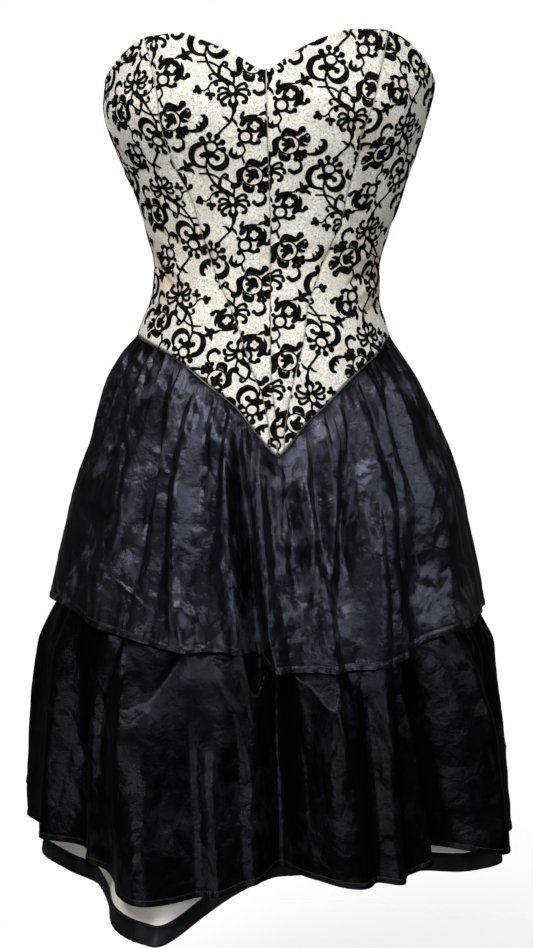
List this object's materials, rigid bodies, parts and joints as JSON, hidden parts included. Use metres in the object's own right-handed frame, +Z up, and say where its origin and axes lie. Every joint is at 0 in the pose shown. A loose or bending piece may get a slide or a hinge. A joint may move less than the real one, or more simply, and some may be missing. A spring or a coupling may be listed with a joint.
{
  "type": "bustier dress",
  "caption": "Strapless party dress: flocked sweetheart bodice with a pointed waist, tiered gathered satin skirt over a banded petticoat, and a back zip with a swinging pull tab.",
  "frame": {"origin": "middle of the waist, where the wearer's body holds the dress up", "axes": "+Z up, -Y towards the front of the dress, +X to the right as seen from the front"},
  "size_m": [0.5086, 0.4151, 0.8453],
  "materials": {
    "flocked_cotton": "matt cream cotton with a raised black flock pattern",
    "upper_satin": "crinkled black satin",
    "lower_satin": "soft black satin",
    "petticoat_cloth": "matt stone grey lining cloth",
    "band_satin": "black satin binding",
    "black_tape": "woven zip tape",
    "black_nylon": "moulded nylon",
    "dark_metal": "dark plated metal"
  },
  "bodies": {
    "dress": {"bodice_front_left": "flocked_cotton", "bodice_front_right": "flocked_cotton", "bodice_side_front_left": "flocked_cotton", "bodice_side_front_right": "flocked_cotton", "bodice_side_back_left": "flocked_cotton", "bodice_side_back_right": "flocked_cotton", "bodice_back_left": "flocked_cotton", "bodice_back_right": "flocked_cotton", "upper_skirt_front": "upper_satin", "upper_skirt_back_left": "upper_satin", "upper_skirt_back_right": "upper_satin", "lower_skirt_front": "lower_satin", "lower_skirt_back": "lower_satin", "petticoat_front": "petticoat_cloth", "petticoat_back": "petticoat_cloth", "petticoat_band_front": "band_satin", "petticoat_band_back": "band_satin", "zip_tape": "black_tape", "zip_chain": "black_nylon", "zip_slider": "dark_metal"},
    "pull_tab": {"zip_pull": "dark_metal"}
  },
  "joints": [
    {"name": "pull_tab_hinge", "type": "hinge", "parent": "dress", "child": "pull_tab", "pos_m": [0, 0.10679, 0.156], "axis": [1, 0, 0], "range_deg": [0, 170]}
  ]
}
